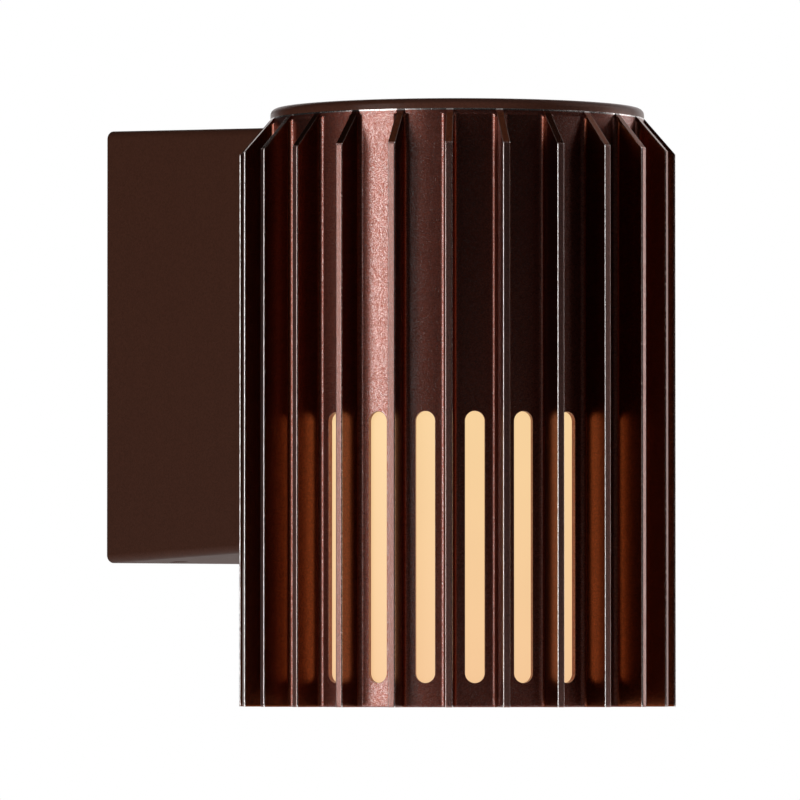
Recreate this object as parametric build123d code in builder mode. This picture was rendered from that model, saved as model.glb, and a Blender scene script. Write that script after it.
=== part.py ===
from build123d import *
import os
from math import asin, cos, degrees, floor, pi, radians, sin, sqrt, tan

# Outdoor wall light: a finned tube shade with an opal diffuser, carried by a drafted wall box.
# Millimetres, +Z up. The origin is on the wall at the middle of the wall box, the shade stands towards -Y.

os.makedirs("parts", exist_ok=True)

# Finned shade, an extruded tube
fin_radius = 47.5
fin_depth = 6.8
fin_thickness = 1.6
fin_step = 15.0
front_angle = -90.0
fin_root_fillet = 1.2
fin_tip_fillet = 0.25
shade_height = 126.8
tube_wall = 1.2
slot_width = 4.25
slot_length = 58.0
slot_height = 5.15
slot_arc = 180.0

# Top cap and its flat seal
cap_thickness = 2.8
cap_edge = 1.4
cap_seal_thickness = 0.4
cap_seal_inset = 0.5
cap_spigot_depth = 2.7
cap_spigot_wall = 2.0
cap_post_radius = 3.2
cap_post_count = 3
cap_post_inset = 1.1

# Wall box, a drafted casting
axis_reach = 90.5
box_width = 64.0
box_height = 96.8
box_draft = 2.0
box_wall = 3.0
box_corner = 1.8
box_front_wall = 3.0
box_top_drop = 1.4
saddle_seal_thickness = 0.8
saddle_seal_inset = 0.6
rim_lip = 1.0
wall_seal_thickness = 2.0
spine_width = 15.0
spine_rise = 1.5

# Wall bracket, folded steel
bracket_width = 44.0
bracket_sheet = 1.5
bracket_flange = 14.0
bracket_bend = 2.2
bracket_top_room = 3.4
wall_slot_spacing = 56.0
wall_slot_width = 5.0
wall_slot_length = 12.0
bracket_pad_width = 6.0
bracket_pad_spacing = 28.0

# Cable inlet
cable_radius = 4.0
grommet_hole_radius = 8.0
grommet_flange_radius = 10.5
grommet_flange_thickness = 2.0
grommet_nozzle_foot = 7.0
grommet_nozzle_radius = 6.0
grommet_nozzle_length = 6.0

# Screws
screw_radius = 2.0
screw_head_radius = 3.6
screw_head_height = 2.4
small_screw_radius = 1.5
small_head_radius = 2.7
sink_angle = 90.0
set_screw_spacing = 36.0
set_screw_depth = 8.0
set_screw_boss = 4.2
set_boss_gap = 0.6
set_socket_across = 2.0
box_screw_spacing = 22.0
screw_bite = 0.8

# Opal diffuser, a jar with a screw neck
diffuser_gap = 0.3
diffuser_wall = 2.2
diffuser_height = 2.0
diffuser_corner = 3.0
diffuser_shoulder = 5.5
neck_wall = 2.5
neck_pass = 2.1
neck_rim_gap = 1.2
jar_seal_thickness = 1.5
jar_seal_width = 3.2

# Lamp carrier
collar_depth = 9.0
collar_wall = 2.6
carrier_plate = 2.5
carrier_flange_width = 32.0
carrier_flange_thickness = 6.3
carrier_flange_gap = 2.65
head_room = 41.05

# Lampholder with a screw shell
holder_skirt_radius = 19.5
holder_mouth_drop = 7.0
holder_bore_radius = 14.6
holder_flange_radius = 23.0
holder_flange_thickness = 3.0
holder_upper_radius = 17.0
holder_upper_height = 23.0
holder_socket_depth = 26.0
holder_ring_height = 4.0
holder_ring_radius = 23.8
holder_ring_notches = 12
shell_wall = 0.8
shell_length = 17.5
shell_inset = 2.5
contact_radius = 6.0
contact_thickness = 0.8

# Screw lamp
lamp_thread_radius = 13.1
lamp_cap_wall = 0.7
lamp_cap_length = 20.2
lamp_cap_inset = 1.5
lamp_cap_end = 7.9
lamp_tip_height = 2.5
lamp_tip_radius = 5.5
lamp_collar_length = 17.0
lamp_collar_top = 13.4
lamp_rim_radius = 18.6
globe_radius = 22.5
globe_wall = 1.2

# Leads and terminals
lead_radius = 1.1
lead_spacing = 3.8
lead_bend = 5.0
lead_swing = 18.0
lead_lean = 4.0
lead_past_bush = 4.5
lead_arch = 11.0
bush_radius = 5.0
bush_head_radius = 6.6
bush_head = 1.5
pole_pitch = 10.0
pole_count = 3
block_depth = 13.0
block_height = 16.0
block_below = 20.0
block_end = 1.0
block_boss_rise = 6.0
block_boss_radius = 3.2
entry_radius = 1.6
entry_depth = 5.0
earth_boss_radius = 4.6
earth_across = 17.0
earth_above = 8.0
earth_boss_rise = 6.4
earth_swing = 7.0
tag_thickness = 0.8
tag_radius = 4.4
tag_barrel = 4.5

# Clearances
press_gap = 0.05
clear_gap = 0.3
hole_gap = 0.2
cut_past = 2.0

# Worked-out sizes
tube_radius = fin_radius - fin_depth
tube_bore = tube_radius - tube_wall
cap_foot = shade_height + cap_seal_thickness
cap_top = cap_foot + cap_thickness
shade_foot = box_top_drop + box_height / 2 - cap_top
axis_y = -axis_reach
shade_axis = Axis((0, axis_y, 0), (0, 0, 1))
turning_plane = Plane(origin=(0, axis_y, shade_foot), x_dir=(1, 0, 0), z_dir=(0, -1, 0))

saddle_radius = tube_radius + saddle_seal_thickness
box_reach = axis_reach - sqrt(saddle_radius**2 - (box_width / 2) ** 2)
box_narrowing = box_reach * tan(radians(box_draft))
saddle_half = box_width / 2 - box_narrowing
spine_face = axis_reach - saddle_radius - box_front_wall - spine_rise

bracket_top = box_height / 2 - box_wall - bracket_top_room + press_gap
set_screw_tip = -bracket_top - press_gap

diffuser_radius = tube_bore - diffuser_gap
neck_bore = globe_radius + neck_pass
neck_radius = neck_bore + neck_wall
collar_bore = neck_radius + clear_gap
plate_top = cap_foot - head_room
plate_foot = plate_top - carrier_plate
collar_foot = plate_foot - collar_depth
diffuser_seat = collar_foot - jar_seal_thickness
carrier_radius = tube_bore - clear_gap
flange_flat = carrier_radius - carrier_flange_thickness
carrier_flange_height = head_room - cap_spigot_depth - carrier_flange_gap
bush_z = shade_foot + plate_top + carrier_flange_height / 2
screw_heights = (bush_z + box_screw_spacing / 2, bush_z - box_screw_spacing / 2)
cap_post_ring = tube_bore - cap_post_inset - cap_post_radius

mouth = plate_foot - holder_mouth_drop
socket_roof = mouth + holder_socket_depth
holder_top = plate_top + holder_flange_thickness + holder_upper_height
lamp_cap_foot = mouth + lamp_cap_inset
lamp_cap_top = lamp_cap_foot + lamp_cap_length
lamp_tip_top = lamp_cap_top + lamp_tip_height
lamp_rim = lamp_cap_foot - lamp_collar_length
globe_centre = lamp_rim - sqrt(globe_radius**2 - lamp_rim_radius**2)

block_seat = spine_face + spine_rise - block_boss_rise
block_length = pole_pitch * pole_count + 2 * block_end
lead_depth = block_seat - block_depth / 2
entry_floor = -block_below + block_height / 2 - entry_depth
holder_entry_y = axis_y + holder_upper_radius / 3


def corner_at(sketch, across, up):
    """The vertex of a sketch nearest a place given in the sketch's own two directions."""
    return sketch.vertices().sort_by_distance((across, up, 0))[0]


def box_sections(inset):
    """The box's outline at the wall and at the shade, drawn in by an inset, as two faces for a loft."""
    trim = 2 * (inset + box_narrowing)
    with BuildSketch(Plane.XZ) as at_wall:
        RectangleRounded(box_width - 2 * inset, box_height - 2 * inset, box_corner)
    with BuildSketch(Plane.XZ.offset(box_reach)) as at_shade:
        RectangleRounded(box_width - trim, box_height - trim, box_corner)
    return [at_wall.sketch.face(), at_shade.sketch.face()]


# Wall bracket: a folded channel with two slots for the wall screws and a hole for the cable
with BuildPart() as wall_bracket:
    with BuildSketch(Plane.YZ) as fold:
        with Locations((-bracket_flange / 2, 0)):
            Rectangle(bracket_flange, 2 * bracket_top)
        fillet(fold.vertices().group_by(Axis.X)[-1], bracket_bend)
        with Locations((-bracket_sheet - bracket_flange / 2, 0)):
            inner_top = bracket_top - bracket_sheet
            Rectangle(bracket_flange, 2 * inner_top, mode=Mode.SUBTRACT)
        inner_bends = [corner_at(fold, -bracket_sheet, side * inner_top) for side in (-1, 1)]
        fillet(inner_bends, bracket_bend - bracket_sheet)
    extrude(amount=bracket_width / 2, both=True)
    with BuildSketch(Plane.XZ):
        with GridLocations(0, wall_slot_spacing, 1, 2):
            SlotOverall(wall_slot_length, wall_slot_width, rotation=90)
        Circle(grommet_hole_radius)
    extrude(amount=bracket_sheet, mode=Mode.SUBTRACT)
    fillet(wall_bracket.edges().filter_by(Axis.Z).group_by(Axis.Y)[0], bracket_sheet / 3)
wall_bracket.part.label = "wall_bracket"
export_step(wall_bracket.part, "parts/wall_bracket.step")

# Cable grommet: a rubber sleeve with a tapered nozzle, pressed into the bracket
with BuildPart() as cable_grommet:
    grommet_front = -bracket_sheet - grommet_flange_thickness
    grommet_end = grommet_front - grommet_nozzle_length
    with BuildSketch(Plane.XY):
        Polygon(
            (cable_radius, 0),
            (grommet_hole_radius - press_gap, 0),
            (grommet_hole_radius - press_gap, -bracket_sheet),
            (grommet_flange_radius, -bracket_sheet),
            (grommet_flange_radius, grommet_front),
            (grommet_nozzle_foot, grommet_front),
            (grommet_nozzle_radius, grommet_end),
            (cable_radius, grommet_end),
            align=None,
        )
    revolve(axis=Axis.Y)
cable_grommet.part.label = "cable_grommet"
export_step(cable_grommet.part, "parts/cable_grommet.step")

# Core of the wall box: the hollow that the casting leaves behind its front wall
with BuildPart() as box_core:
    loft(box_sections(box_wall), ruled=True)
    with Locations((0, axis_y, 0)):
        Cylinder(saddle_radius + box_front_wall, 2 * box_height, mode=Mode.SUBTRACT)

# Wall box: drafted walls, a saddle front that sits on the tube, an open back with a ledge for the seal
with BuildPart() as wall_box:
    loft(box_sections(0), ruled=True)
    add(box_core.part, mode=Mode.SUBTRACT)
    with BuildSketch(Plane.XZ):
        RectangleRounded(box_width - 2 * rim_lip, box_height - 2 * rim_lip, box_corner - rim_lip / 2)
    extrude(amount=wall_seal_thickness, mode=Mode.SUBTRACT)
    # flat spine for the two box screws and the lead bush
    with BuildSketch(Plane.XZ.offset(spine_face)):
        with Locations((0, bush_z)):
            spine_length = box_screw_spacing + spine_width
            SlotOverall(spine_length, spine_width, rotation=90)
    extrude(amount=spine_rise + box_front_wall)
    # bosses for the terminal block and the earth screw
    with BuildSketch(Plane.XZ.offset(block_seat)):
        with Locations((0, -block_below)):
            with GridLocations(pole_pitch, 0, 2, 1):
                Circle(block_boss_radius)
    extrude(amount=block_boss_rise + box_front_wall)
    earth_surface = axis_reach - sqrt((saddle_radius + box_front_wall) ** 2 - earth_across**2)
    earth_seat = earth_surface - earth_boss_rise
    with BuildSketch(Plane.XZ.offset(earth_seat)):
        with Locations((earth_across, earth_above)):
            Circle(earth_boss_radius)
    extrude(amount=earth_boss_rise + box_front_wall)
    # pads over the bracket's upper flange and bosses for the set screws under its lower flange
    pad_start = wall_seal_thickness + clear_gap
    pad_drop = box_height / 2 - box_wall / 2 - bracket_top - press_gap
    with BuildSketch(Plane.XZ.offset(pad_start)):
        with Locations((0, bracket_top + press_gap + pad_drop / 2)):
            with GridLocations(bracket_pad_spacing, 0, 2, 1):
                Rectangle(bracket_pad_width, pad_drop)
    extrude(amount=bracket_flange)
    boss_top = set_screw_tip - set_boss_gap
    boss_foot = -box_height / 2 + box_wall / 2
    with BuildSketch(Plane.XY.offset(boss_foot)):
        with Locations((0, -set_screw_depth)):
            with GridLocations(set_screw_spacing, 0, 2, 1):
                Circle(set_screw_boss)
    extrude(amount=boss_top - boss_foot)
    # the seat on the tube, then the holes
    with Locations((0, axis_y, 0)):
        Cylinder(saddle_radius, 2 * box_height, mode=Mode.SUBTRACT)
    with BuildSketch(Plane.XZ):
        for height in screw_heights:
            with Locations((0, height)):
                Circle(screw_radius + hole_gap)
        with Locations((0, bush_z)):
            Circle(bush_radius + hole_gap)
    extrude(amount=axis_reach, mode=Mode.SUBTRACT)
    with BuildSketch(Plane.XZ.offset(block_seat)):
        with Locations((0, -block_below)):
            with GridLocations(pole_pitch, 0, 2, 1):
                Circle(small_screw_radius + press_gap)
    extrude(amount=block_boss_rise, mode=Mode.SUBTRACT)
    with BuildSketch(Plane.XZ.offset(earth_seat)):
        with Locations((earth_across, earth_above)):
            Circle(screw_radius + press_gap)
    extrude(amount=earth_boss_rise, mode=Mode.SUBTRACT)
    with BuildSketch(Plane.XY.offset(-box_height / 2)):
        with Locations((0, -set_screw_depth)):
            with GridLocations(set_screw_spacing, 0, 2, 1):
                Circle(screw_radius + press_gap)
    extrude(amount=box_height / 4, mode=Mode.SUBTRACT)
wall_box.part.label = "wall_box"
export_step(wall_box.part, "parts/wall_box.step")

# Wall seal: a foam frame lying in the rim's ledge
with BuildPart() as wall_seal:
    seal_inset = rim_lip + press_gap
    with BuildSketch(Plane.XZ):
        RectangleRounded(box_width - 2 * seal_inset, box_height - 2 * seal_inset, box_corner - rim_lip / 2)
        RectangleRounded(
            box_width - 2 * box_wall,
            box_height - 2 * box_wall,
            box_corner - rim_lip / 2,
            mode=Mode.SUBTRACT,
        )
    extrude(amount=wall_seal_thickness)
wall_seal.part.label = "wall_seal"
export_step(wall_seal.part, "parts/wall_seal.step")

# Set screws: socket screws through the box's underside that clamp it on the bracket
for side, name in ((-1, "left"), (1, "right")):
    with BuildPart() as set_screw:
        underside = -box_height / 2 + set_screw_depth * tan(radians(box_draft))
        set_foot = underside + clear_gap
        with BuildSketch(Plane.XY.offset(set_foot)):
            with Locations((side * set_screw_spacing / 2, -set_screw_depth)):
                Circle(screw_radius)
                RegularPolygon(set_socket_across / 2, 6, major_radius=False, mode=Mode.SUBTRACT)
        extrude(amount=screw_radius)
        with BuildSketch(Plane.XY.offset(set_foot + screw_radius)):
            with Locations((side * set_screw_spacing / 2, -set_screw_depth)):
                Circle(screw_radius)
        extrude(amount=set_screw_tip - set_foot - screw_radius)
    set_screw.part.label = f"set_screw_{name}"
    export_step(set_screw.part, f"parts/set_screw_{name}.step")

# Saddle seal: a thin curved sheet between the box's front and the tube
with BuildPart() as saddle_seal:
    loft(box_sections(saddle_seal_inset), ruled=True)
    with Locations((0, axis_y, 0)):
        Cylinder(saddle_radius, 2 * box_height, mode=Mode.INTERSECT)
        Cylinder(tube_radius, 2 * box_height, mode=Mode.SUBTRACT)
    with BuildSketch(Plane.XZ):
        for height in screw_heights:
            with Locations((0, height)):
                Circle(screw_radius + hole_gap)
        with Locations((0, bush_z)):
            Circle(bush_radius + hole_gap)
    extrude(amount=axis_reach, mode=Mode.SUBTRACT)
saddle_seal.part.label = "saddle_seal"
export_step(saddle_seal.part, "parts/saddle_seal.step")

# Finned shade: one extruded section with a plain land at the back, bevelled fins and a row of slots
with BuildPart() as finned_shade:
    fin_foot = fin_thickness / 2 + fin_root_fillet + clear_gap
    land_half = degrees(asin((saddle_half + fin_foot) / tube_radius))
    fin_count = 2 * floor((180 - land_half + fin_step / 2) / fin_step)
    fin_start = front_angle - fin_step * (fin_count - 1) / 2
    with BuildSketch(Plane.XY.offset(shade_foot)) as section:
        with Locations((0, axis_y)):
            Circle(tube_radius)
            fin_middle = (tube_bore + fin_radius) / 2
            with PolarLocations(fin_middle, fin_count, fin_start, fin_step * fin_count):
                Rectangle(fin_radius - tube_bore, fin_thickness)
        axis_point = Vector(0, axis_y, 0)
        corners = section.vertices()
        roots = [v for v in corners if (Vector(v) - axis_point).length < tube_radius + fin_depth / 2]
        fillet(roots, fin_root_fillet)
        corners = section.vertices()
        tips = [v for v in corners if (Vector(v) - axis_point).length > fin_radius - fin_tip_fillet / 2]
        fillet(tips, fin_tip_fillet)
        with Locations((0, axis_y)):
            Circle(tube_bore, mode=Mode.SUBTRACT)
    extrude(amount=shade_height)
    # the fins' upper ends slope down to their full reach
    with BuildSketch(turning_plane):
        Polygon(
            (tube_radius, shade_height),
            (fin_radius + cut_past, shade_height - fin_depth - cut_past),
            (fin_radius + cut_past, shade_height + cut_past),
            (tube_radius, shade_height + cut_past),
            align=None,
        )
    revolve(axis=shade_axis, mode=Mode.SUBTRACT)
    # one slot in each gap of the front half
    slot_reach = round(slot_arc / fin_step / 2)
    for place in range(-slot_reach, slot_reach + 1):
        turn = radians(front_angle + fin_step * place)
        slot_plane = Plane(
            origin=(0, axis_y, shade_foot + slot_height + slot_length / 2),
            x_dir=(-sin(turn), cos(turn), 0),
            z_dir=(cos(turn), sin(turn), 0),
        )
        with BuildSketch(slot_plane):
            SlotOverall(slot_length, slot_width, rotation=90)
        extrude(amount=tube_radius + fin_root_fillet, mode=Mode.SUBTRACT)
    # holes in the land for the box screws and the lead bush
    with BuildSketch(Plane.XZ):
        for height in screw_heights:
            with Locations((0, height)):
                Circle(screw_radius + hole_gap)
        with Locations((0, bush_z)):
            Circle(bush_radius + hole_gap)
    extrude(amount=axis_reach, mode=Mode.SUBTRACT)
finned_shade.part.label = "finned_shade"
export_step(finned_shade.part, "parts/finned_shade.step")

# Top cap: a disc with a rounded edge, a spigot in the tube and posts down to the lamp carrier
with BuildPart() as top_cap:
    with BuildSketch(turning_plane) as cap_section:
        Polygon(
            (0, cap_foot),
            (tube_bore - clear_gap - cap_spigot_wall, cap_foot),
            (tube_bore - clear_gap - cap_spigot_wall, cap_foot - cap_spigot_depth),
            (tube_bore - clear_gap, cap_foot - cap_spigot_depth),
            (tube_bore - clear_gap, cap_foot),
            (tube_radius, cap_foot),
            (tube_radius, cap_top),
            (0, cap_top),
            align=None,
        )
        fillet(corner_at(cap_section, tube_radius, cap_top), cap_edge)
    revolve(axis=shade_axis)
    with BuildSketch(Plane.XY.offset(shade_foot + plate_top)):
        with Locations((0, axis_y)):
            with PolarLocations(cap_post_ring, cap_post_count, front_angle):
                Circle(cap_post_radius)
    extrude(amount=cap_foot - plate_top)
    with BuildSketch(Plane.XY.offset(shade_foot + plate_top)):
        with Locations((0, axis_y)):
            with PolarLocations(cap_post_ring, cap_post_count, front_angle):
                Circle(small_screw_radius + press_gap)
    extrude(amount=(cap_foot - plate_top) / 2, mode=Mode.SUBTRACT)
top_cap.part.label = "top_cap"
export_step(top_cap.part, "parts/top_cap.step")

# Cap seal: a flat ring on the end of the tube, set back from its edge
with BuildPart() as cap_seal:
    with BuildSketch(Plane.XY.offset(shade_foot + shade_height)):
        with Locations((0, axis_y)):
            Circle(tube_radius - cap_seal_inset)
            Circle(tube_bore - clear_gap + hole_gap, mode=Mode.SUBTRACT)
    extrude(amount=cap_seal_thickness)
cap_seal.part.label = "cap_seal"
export_step(cap_seal.part, "parts/cap_seal.step")

# Lamp carrier: a plate with a threaded collar under it and a flange that the box screws pull on
with BuildPart() as lamp_carrier:
    with BuildSketch(turning_plane):
        Polygon(
            (holder_skirt_radius + clear_gap, plate_foot),
            (collar_bore, plate_foot),
            (collar_bore, collar_foot),
            (collar_bore + collar_wall, collar_foot),
            (collar_bore + collar_wall, plate_foot),
            (carrier_radius, plate_foot),
            (carrier_radius, plate_top),
            (holder_skirt_radius + clear_gap, plate_top),
            align=None,
        )
    revolve(axis=shade_axis)
    with BuildSketch(Plane.XY.offset(shade_foot + plate_top)):
        with Locations((0, axis_y)):
            Circle(carrier_radius)
        with Locations((0, axis_y + flange_flat + carrier_radius / 2)):
            Rectangle(carrier_flange_width, carrier_radius, mode=Mode.INTERSECT)
    extrude(amount=carrier_flange_height)
    with BuildSketch(Plane.XZ):
        for height in screw_heights:
            with Locations((0, height)):
                Circle(screw_radius + press_gap)
        with Locations((0, bush_z)):
            Circle(bush_radius + hole_gap)
    extrude(amount=axis_reach, mode=Mode.SUBTRACT)
    with Locations(Plane(origin=(0, axis_y, shade_foot + plate_foot), x_dir=(1, 0, 0), z_dir=(0, 0, -1))):
        with PolarLocations(cap_post_ring, cap_post_count, -front_angle):
            CounterSinkHole(
                radius=small_screw_radius + hole_gap,
                counter_sink_radius=small_head_radius + hole_gap,
                depth=carrier_plate,
                counter_sink_angle=sink_angle,
            )
lamp_carrier.part.label = "lamp_carrier"
export_step(lamp_carrier.part, "parts/lamp_carrier.step")

# Cap screws: countersunk, from under the carrier up into the cap's posts
for number in range(cap_post_count):
    turn = radians(front_angle) + number * 2 * pi / cap_post_count
    with BuildPart() as cap_screw:
        head = (cap_post_ring * cos(turn), axis_y + cap_post_ring * sin(turn), shade_foot + plate_foot)
        head_depth = (small_head_radius - small_screw_radius) / tan(radians(sink_angle / 2))
        screw_end = carrier_plate + 4 * small_screw_radius
        with BuildSketch(Plane(origin=head, x_dir=(1, 0, 0), z_dir=(0, -1, 0))):
            Polygon(
                (0, 0),
                (small_head_radius, 0),
                (small_screw_radius, head_depth),
                (small_screw_radius, screw_end),
                (0, screw_end),
                align=None,
            )
        revolve(axis=Axis(head, (0, 0, 1)))
    cap_screw.part.label = f"cap_screw_{number + 1}"
    export_step(cap_screw.part, f"parts/cap_screw_{number + 1}.step")

# Box screws: from inside the box through the tube's land into the carrier's flange
flange_inner = axis_reach - flange_flat
for height, name in zip(screw_heights, ("upper", "lower")):
    with BuildPart() as box_screw:
        with BuildSketch(Plane.XZ.offset(spine_face)):
            with Locations((0, height)):
                Circle(screw_head_radius)
        extrude(amount=-screw_head_height)
        fillet(box_screw.edges().group_by(Axis.Y)[-1], screw_head_height / 3)
        with BuildSketch(Plane.XZ.offset(spine_face)):
            with Locations((0, height)):
                Circle(screw_radius)
        extrude(amount=flange_inner - spine_face)
    box_screw.part.label = f"box_screw_{name}"
    export_step(box_screw.part, f"parts/box_screw_{name}.step")

# Lead bush: a sealing sleeve with two holes, headed on both sides of the walls that it passes
with BuildPart() as lead_bush:
    with BuildSketch(Plane.XY.offset(bush_z)):
        Polygon(
            (0, -spine_face + bush_head),
            (bush_head_radius - bush_head / 2, -spine_face + bush_head),
            (bush_head_radius, -spine_face),
            (bush_radius, -spine_face),
            (bush_radius, -flange_inner),
            (bush_head_radius, -flange_inner),
            (bush_head_radius - bush_head / 2, -flange_inner - bush_head),
            (0, -flange_inner - bush_head),
            align=None,
        )
    revolve(axis=Axis((0, 0, bush_z), (0, 1, 0)))
    with BuildSketch(Plane.XZ):
        with Locations((0, bush_z)):
            with GridLocations(lead_spacing, 0, 2, 1):
                Circle(lead_radius + press_gap)
    extrude(amount=axis_reach, mode=Mode.SUBTRACT)
lead_bush.part.label = "lead_bush"
export_step(lead_bush.part, "parts/lead_bush.step")

# Lampholder body: a skirt through the carrier, a flange on top of it and a domed back
with BuildPart() as lampholder_body:
    with BuildSketch(turning_plane) as holder_section:
        shoulder = plate_top + holder_flange_thickness
        Polygon(
            (holder_bore_radius, mouth),
            (holder_skirt_radius, mouth),
            (holder_skirt_radius, plate_top),
            (holder_flange_radius, plate_top),
            (holder_flange_radius, shoulder),
            (holder_upper_radius, shoulder),
            (holder_upper_radius, holder_top),
            (0, holder_top),
            (0, socket_roof),
            (holder_bore_radius, socket_roof),
            align=None,
        )
        fillet(corner_at(holder_section, holder_upper_radius, holder_top), holder_upper_radius / 4)
        fillet(corner_at(holder_section, holder_flange_radius, shoulder), holder_flange_thickness / 3)
    revolve(axis=shade_axis)
    with BuildSketch(Plane.XY.offset(shade_foot + holder_top)):
        with Locations((0, holder_entry_y)):
            with GridLocations(2 * holder_upper_radius / 3, 0, 2, 1):
                Circle(entry_radius)
    extrude(amount=-entry_depth, mode=Mode.SUBTRACT)
lampholder_body.part.label = "lampholder_body"
export_step(lampholder_body.part, "parts/lampholder_body.step")

# Lampholder ring: the nut under the plate that holds the body, notched for the fingers
with BuildPart() as lampholder_ring:
    with BuildSketch(Plane.XY.offset(shade_foot + plate_foot - holder_ring_height)):
        with Locations((0, axis_y)):
            Circle(holder_ring_radius)
            with PolarLocations(holder_ring_radius, holder_ring_notches):
                Circle(holder_ring_height / 4, mode=Mode.SUBTRACT)
            Circle(holder_skirt_radius + hole_gap, mode=Mode.SUBTRACT)
    extrude(amount=holder_ring_height)
lampholder_ring.part.label = "lampholder_ring"
export_step(lampholder_ring.part, "parts/lampholder_ring.step")

# Lampholder shell: the brass sleeve that the lamp screws into
with BuildPart() as lampholder_shell:
    with BuildSketch(Plane.XY.offset(shade_foot + mouth + shell_inset)):
        with Locations((0, axis_y)):
            Circle(holder_bore_radius - press_gap)
            Circle(holder_bore_radius - press_gap - shell_wall, mode=Mode.SUBTRACT)
    extrude(amount=shell_length)
lampholder_shell.part.label = "lampholder_shell"
export_step(lampholder_shell.part, "parts/lampholder_shell.step")

# Lampholder contact: a sprung plate on its stem at the roof of the socket
with BuildPart() as lampholder_contact:
    contact_foot = lamp_tip_top + press_gap
    with BuildSketch(turning_plane):
        Polygon(
            (0, contact_foot),
            (contact_radius, contact_foot),
            (contact_radius, contact_foot + contact_thickness),
            (contact_radius / 2, contact_foot + contact_thickness),
            (contact_radius / 2, socket_roof),
            (0, socket_roof),
            align=None,
        )
    revolve(axis=shade_axis)
lampholder_contact.part.label = "lampholder_contact"
export_step(lampholder_contact.part, "parts/lampholder_contact.step")

# Lamp tip: the insulated centre contact on top of the lamp's cap
with BuildPart() as lamp_tip:
    with BuildSketch(turning_plane):
        Polygon(
            (0, lamp_cap_top),
            (lamp_tip_radius, lamp_cap_top),
            (lamp_tip_radius * 2 / 3, lamp_tip_top - lamp_tip_height / 3),
            (lamp_tip_radius / 2, lamp_tip_top),
            (0, lamp_tip_top),
            align=None,
        )
    revolve(axis=shade_axis)
lamp_tip.part.label = "lamp_tip"
export_step(lamp_tip.part, "parts/lamp_tip.step")

# Lamp cap: the thin screw shell, drawn in at its closed end
with BuildPart() as lamp_cap:
    with BuildSketch(turning_plane):
        inner = lamp_thread_radius - lamp_cap_wall
        Polygon(
            (inner, lamp_cap_foot),
            (lamp_thread_radius, lamp_cap_foot),
            (lamp_thread_radius, lamp_cap_top - lamp_tip_height),
            (lamp_cap_end, lamp_cap_top),
            (0, lamp_cap_top),
            (0, lamp_cap_top - lamp_cap_wall),
            (lamp_cap_end - lamp_cap_wall, lamp_cap_top - lamp_cap_wall),
            (inner, lamp_cap_top - lamp_tip_height - lamp_cap_wall),
            align=None,
        )
    revolve(axis=shade_axis)
lamp_cap.part.label = "lamp_cap"
export_step(lamp_cap.part, "parts/lamp_cap.step")

# Lamp collar: the housing that flares from the cap to the globe
with BuildPart() as lamp_collar:
    with BuildSketch(turning_plane):
        stem = lamp_thread_radius - lamp_cap_wall - press_gap
        with BuildLine():
            Polyline(
                (lamp_collar_top, lamp_cap_foot),
                (stem, lamp_cap_foot),
                (stem, lamp_cap_foot + lamp_cap_length / 2),
                (0, lamp_cap_foot + lamp_cap_length / 2),
                (0, lamp_rim),
                (lamp_rim_radius, lamp_rim),
            )
            TangentArc((lamp_rim_radius, lamp_rim), (lamp_collar_top, lamp_cap_foot), tangent=(0, 1))
        make_face()
    revolve(axis=shade_axis)
lamp_collar.part.label = "lamp_collar"
export_step(lamp_collar.part, "parts/lamp_collar.step")

# Lamp globe: a thin opal ball, cut where it meets the collar
with BuildPart() as lamp_globe:
    with Locations((0, axis_y, shade_foot + globe_centre)):
        Sphere(globe_radius)
        Sphere(globe_radius - globe_wall, mode=Mode.SUBTRACT)
    split(bisect_by=Plane.XY.offset(shade_foot + lamp_rim), keep=Keep.BOTTOM)
lamp_globe.part.label = "lamp_globe"
export_step(lamp_globe.part, "parts/lamp_globe.step")

# Diffuser: an opal jar behind the slots, with a shoulder and a neck that screws into the collar
with BuildPart() as diffuser:
    with BuildSketch(turning_plane) as jar_section:
        neck_top = plate_foot - neck_rim_gap
        inner_radius = diffuser_radius - diffuser_wall
        inner_foot = diffuser_height + diffuser_wall
        inner_roof = diffuser_seat - diffuser_wall
        Polygon(
            (0, diffuser_height),
            (diffuser_radius, diffuser_height),
            (diffuser_radius, diffuser_seat),
            (neck_radius, diffuser_seat),
            (neck_radius, neck_top),
            (neck_bore, neck_top),
            (neck_bore, inner_roof),
            (inner_radius, inner_roof),
            (inner_radius, inner_foot),
            (0, inner_foot),
            align=None,
        )
        fillet(corner_at(jar_section, diffuser_radius, diffuser_height), diffuser_corner)
        fillet(corner_at(jar_section, inner_radius, inner_foot), diffuser_corner - diffuser_wall)
        shoulder_room = diffuser_radius - neck_radius - hole_gap
        shoulder_fillet = min(diffuser_shoulder, shoulder_room)
        fillet(corner_at(jar_section, diffuser_radius, diffuser_seat), shoulder_fillet)
        fillet(corner_at(jar_section, inner_radius, inner_roof), shoulder_fillet - diffuser_wall)
    revolve(axis=shade_axis)
diffuser.part.label = "diffuser"
export_step(diffuser.part, "parts/diffuser.step")

# Diffuser seal: a flat ring between the jar's shoulder and the collar
with BuildPart() as diffuser_seal:
    with BuildSketch(Plane.XY.offset(shade_foot + diffuser_seat)):
        with Locations((0, axis_y)):
            Circle(collar_bore + jar_seal_width)
            Circle(collar_bore, mode=Mode.SUBTRACT)
    extrude(amount=jar_seal_thickness)
diffuser_seal.part.label = "diffuser_seal"
export_step(diffuser_seal.part, "parts/diffuser_seal.step")

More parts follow.
